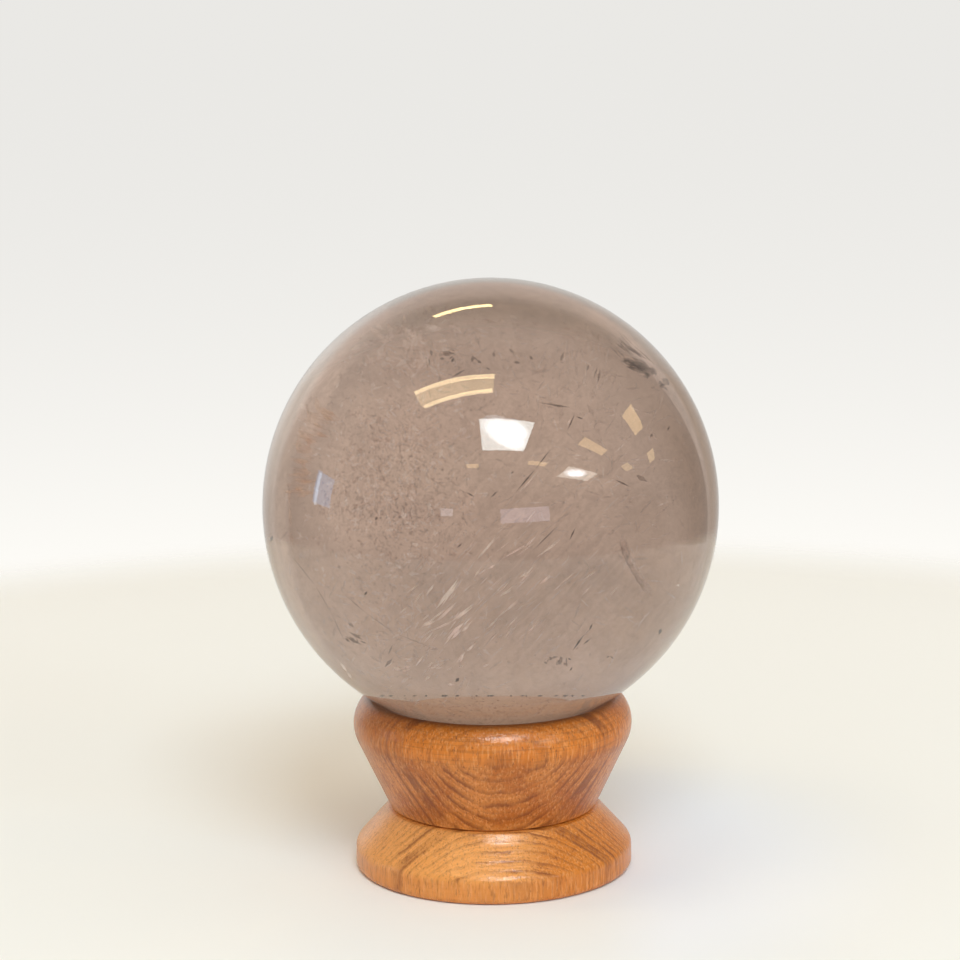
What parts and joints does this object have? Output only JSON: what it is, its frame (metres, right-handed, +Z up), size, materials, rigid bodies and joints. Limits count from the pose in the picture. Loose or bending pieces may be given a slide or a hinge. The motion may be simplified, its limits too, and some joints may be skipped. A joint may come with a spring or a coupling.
{
  "type": "quartz sphere",
  "caption": "Polished smoky quartz sphere resting in a turned hardwood ring stand with a flared foot and a scored neck.",
  "frame": {"origin": "centre of the stand's flat underside, on the surface it stands on", "axes": "+Z up along the axis on which the stand was turned and the sphere lies; the part is round, so +X and +Y are free"},
  "size_m": [0.09, 0.09, 0.1183],
  "materials": {
    "quartz": "polished",
    "wood": "gloss lacquer"
  },
  "bodies": {
    "root": {"quartz_sphere": "quartz", "turned_stand": "wood"}
  },
  "joints": []
}
